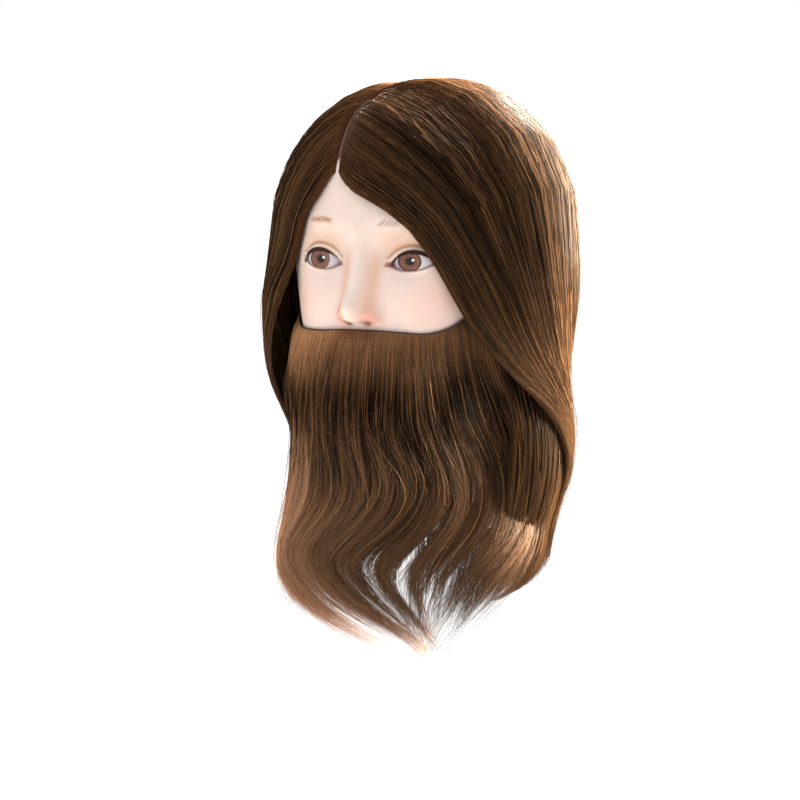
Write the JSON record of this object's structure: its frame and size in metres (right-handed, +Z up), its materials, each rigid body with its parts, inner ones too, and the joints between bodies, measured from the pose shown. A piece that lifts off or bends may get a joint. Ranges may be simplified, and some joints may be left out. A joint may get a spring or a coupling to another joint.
{
  "type": "mannequin training head",
  "caption": "Life-size hairdresser's training head with long rooted hair, a removable full beard on a net, glass-look eyes and a neck socket for a table holder.",
  "frame": {"origin": "centre of the mouth of the neck socket, in the plane of the flat neck base", "axes": "+Z up the neck to the top of the head, the face looks along -Y, +X is the head's own left"},
  "size_m": [0.1989, 0.2271, 0.3441],
  "materials": {
    "skin": "soft vinyl with a low sheen",
    "foam": "rigid foam",
    "white_plastic": "moulded",
    "eye_white": "glossy",
    "iris": "printed, brown",
    "cornea": "clear and glossy",
    "hair": "straight medium-brown hair with a silky sheen",
    "beard_hair": "wavy dark-brown hair",
    "net": "fine knotted net",
    "edge_tape": "narrow woven edge",
    "hook_and_loop": "short hooks and loops"
  },
  "bodies": {
    "head": {"head_shell": "skin", "foam_core": "foam", "neck_socket": "white_plastic", "neck_base_disc": "white_plastic", "eyeball_left": "eye_white", "eyeball_right": "eye_white", "iris_left": "iris", "iris_right": "iris", "cornea_left": "cornea", "cornea_right": "cornea", "hook_pad_left": "hook_and_loop", "hook_pad_right": "hook_and_loop", "hair_top_face_frame_left": "hair", "hair_fall_face_frame_left": "hair", "hair_top_side_left": "hair", "hair_fall_side_left": "hair", "hair_top_behind_ear_left": "hair", "hair_fall_behind_ear_left": "hair", "hair_top_back_left": "hair", "hair_fall_back_left": "hair", "hair_top_face_frame_right": "hair", "hair_fall_face_frame_right": "hair", "hair_top_side_right": "hair", "hair_fall_side_right": "hair", "hair_top_behind_ear_right": "hair", "hair_fall_behind_ear_right": "hair", "hair_top_back_right": "hair", "hair_fall_back_right": "hair"},
    "beard": {"beard_side_right": "beard_hair", "beard_cheek_right": "beard_hair", "beard_chin": "beard_hair", "beard_cheek_left": "beard_hair", "beard_side_left": "beard_hair", "beard_net": "net", "beard_edge_tape": "edge_tape", "loop_pad_left": "hook_and_loop", "loop_pad_right": "hook_and_loop"}
  },
  "joints": [
    {"name": "beard_pull_off", "type": "slide", "parent": "head", "child": "beard", "axis": [0, -0.42, -0.9075], "range_m": [0, 0.2]}
  ]
}
